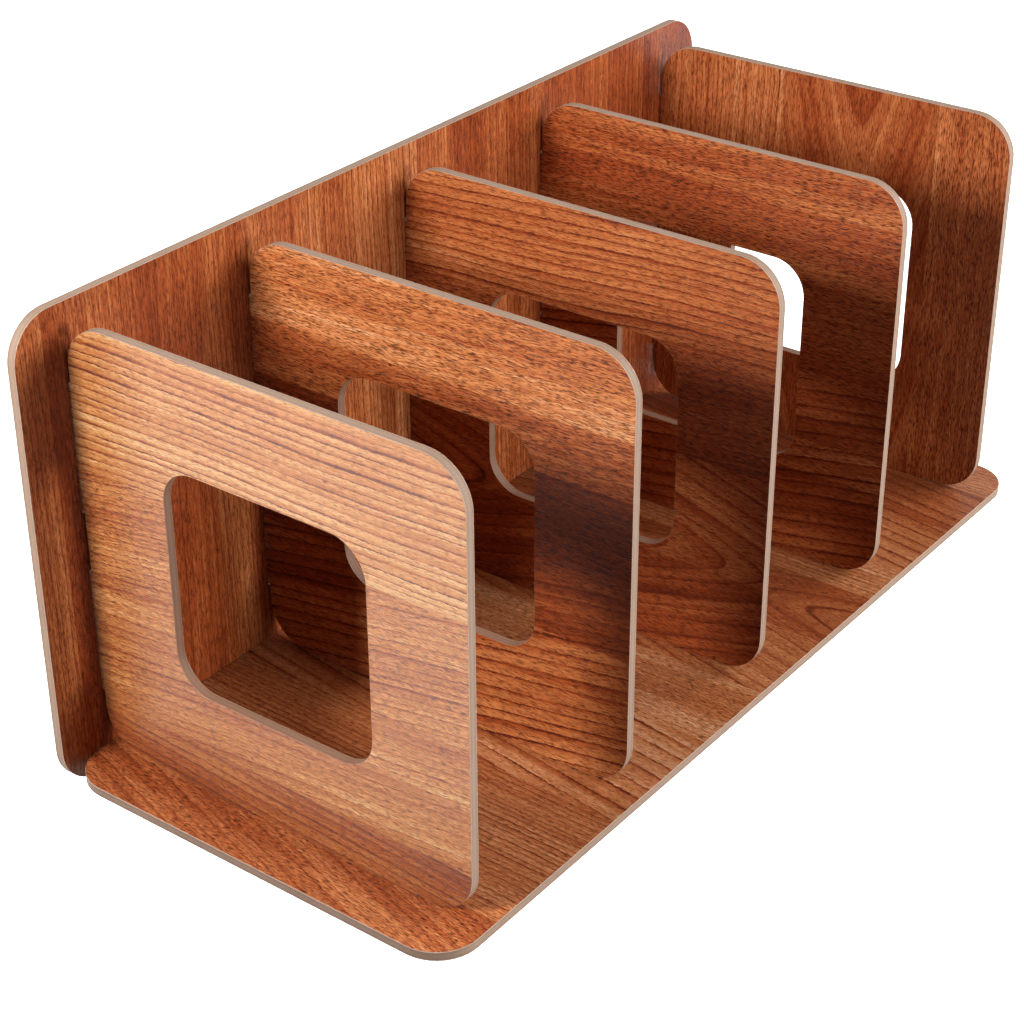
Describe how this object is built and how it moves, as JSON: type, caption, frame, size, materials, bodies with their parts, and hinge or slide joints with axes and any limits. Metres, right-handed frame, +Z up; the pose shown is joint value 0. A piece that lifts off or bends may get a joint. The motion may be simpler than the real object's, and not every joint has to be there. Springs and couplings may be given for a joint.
{
  "type": "desktop file sorter",
  "caption": "Knock-down desktop file sorter: window-cut divider boards slot upright into a base board and a full-width back panel to form open-fronted compartments.",
  "frame": {"origin": "on the surface the sorter stands on, under the middle of its outline", "axes": "+X along the row of dividers, +Y from the open front towards the back panel, +Z up"},
  "size_m": [0.4764, 0.2118, 0.2214],
  "materials": {
    "base_board": "satin wood-grain film on fibreboard, grain running front to back, raw beige edges",
    "back_board": "satin wood-grain film on fibreboard, grain running up and down, raw beige edges",
    "divider_board": "satin wood-grain film on fibreboard, raw beige edges"
  },
  "bodies": {
    "root": {"base_panel": "base_board", "back_panel": "back_board", "divider_1": "divider_board", "divider_2": "divider_board", "divider_3": "divider_board", "divider_4": "divider_board", "divider_5": "divider_board"}
  },
  "joints": []
}
